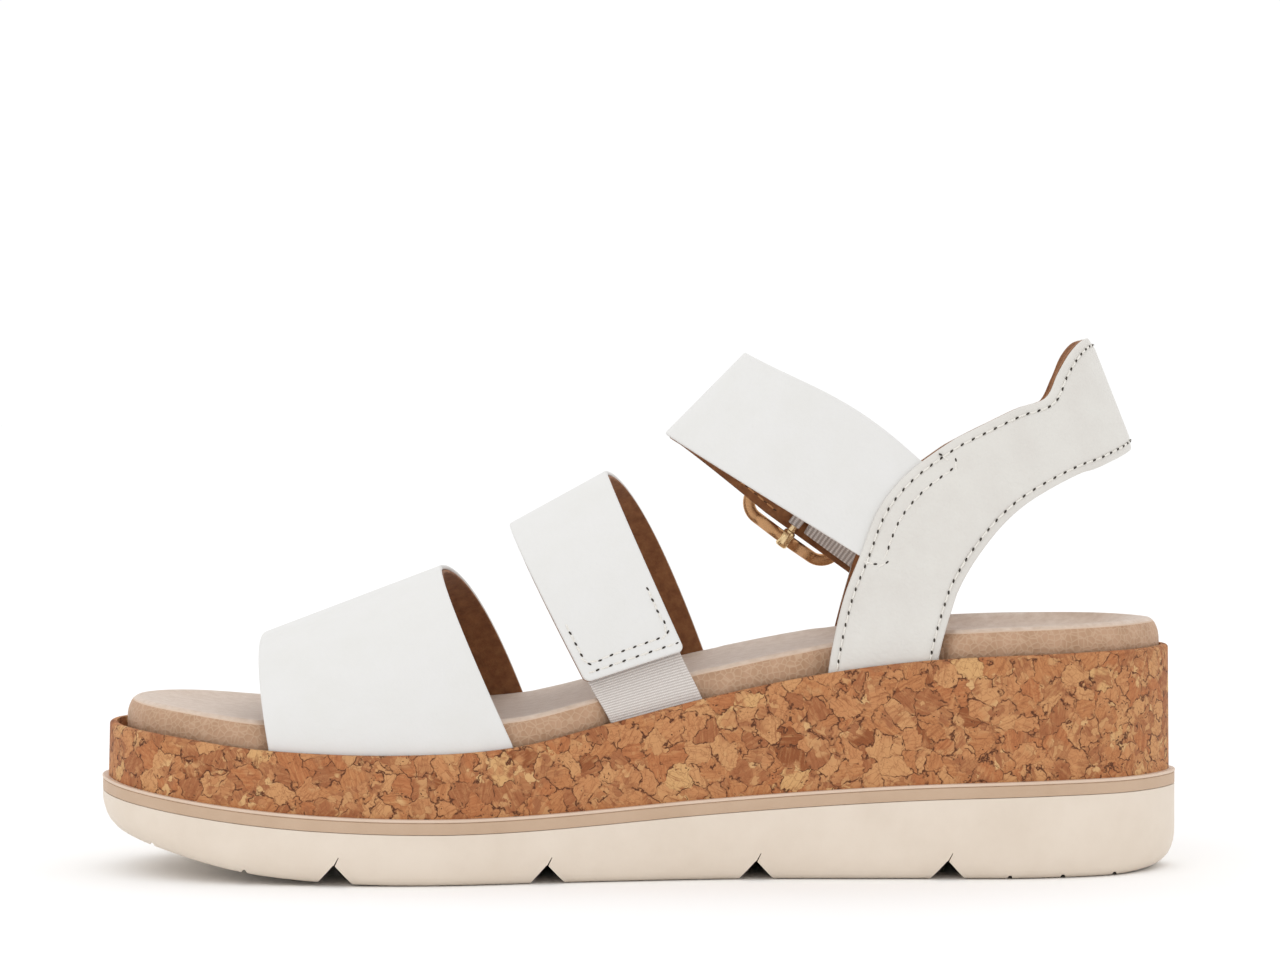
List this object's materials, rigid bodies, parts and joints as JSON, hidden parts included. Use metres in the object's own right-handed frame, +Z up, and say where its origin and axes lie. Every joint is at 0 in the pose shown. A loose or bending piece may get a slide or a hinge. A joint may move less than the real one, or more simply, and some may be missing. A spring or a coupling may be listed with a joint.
{
  "type": "wedge sandal",
  "caption": "Right-foot strappy sandal on a cork-wrapped wedge platform, with a notched light sole, an elastic gusset, a heel strap and an outer ankle buckle.",
  "frame": {"origin": "on the tread's ground plane, below the middle of the sole's length and its toe-to-heel line", "axes": "+X from toe to heel, +Y to the outer (lateral) side of the right foot, +Z up from the ground"},
  "size_m": [0.2566, 0.0949, 0.127],
  "materials": {
    "outsole_rubber": "matte moulded rubber, faintly pebbled",
    "welt_rubber": "smooth satin rubber strip",
    "cork": "agglomerated cork granules, lightly sealed",
    "foam": "moulded foam",
    "insole_board": "pressed fibre board",
    "microsuede": "short-napped microsuede",
    "white_leather": "smooth semi-matte leather with cut edges",
    "tan_lining": "unfinished tan lining leather",
    "elastic": "ribbed woven elastic",
    "buckle_metal": "polished pale gold plating"
  },
  "bodies": {
    "sole": {"outsole": "outsole_rubber", "welt_band": "welt_rubber", "cork_wrap": "cork", "platform_core": "foam", "insole_board": "insole_board", "footbed_foam": "foam", "footbed_cover": "microsuede", "toe_strap_outer": "white_leather", "toe_strap_lining": "tan_lining", "mid_strap_elastic": "elastic", "instep_strap_outer": "white_leather", "instep_strap_lining": "tan_lining", "heel_strap_outer": "white_leather", "heel_strap_padding": "foam", "heel_strap_lining": "tan_lining", "buckle_elastic": "elastic"},
    "mid_strap": {"mid_strap_outer": "white_leather", "mid_strap_lining": "tan_lining"},
    "buckle": {"buckle_frame": "buckle_metal", "buckle_bar": "buckle_metal"},
    "prong": {"buckle_prong": "buckle_metal"}
  },
  "joints": [
    {"name": "mid_strap_lift", "type": "hinge", "parent": "sole", "child": "mid_strap", "pos_m": [0.00555, 0.03895, 0.03755], "axis": [-0.9642, 0.1185, -0.2371], "range_deg": [0, 5], "stiffness_Nm_per_rad": 7, "deforming": ["mid_strap_elastic"]},
    {"name": "buckle_tilt", "type": "hinge", "parent": "sole", "child": "buckle", "pos_m": [0.04537, 0.02528, 0.08997], "axis": [-0.5879, 0, -0.8089], "range_deg": [-3, 3]},
    {"name": "prong_swing", "type": "hinge", "parent": "buckle", "child": "prong", "pos_m": [0.04537, 0.02528, 0.08997], "axis": [-0.5879, 0, -0.8089], "range_deg": [0, 30]}
  ]
}
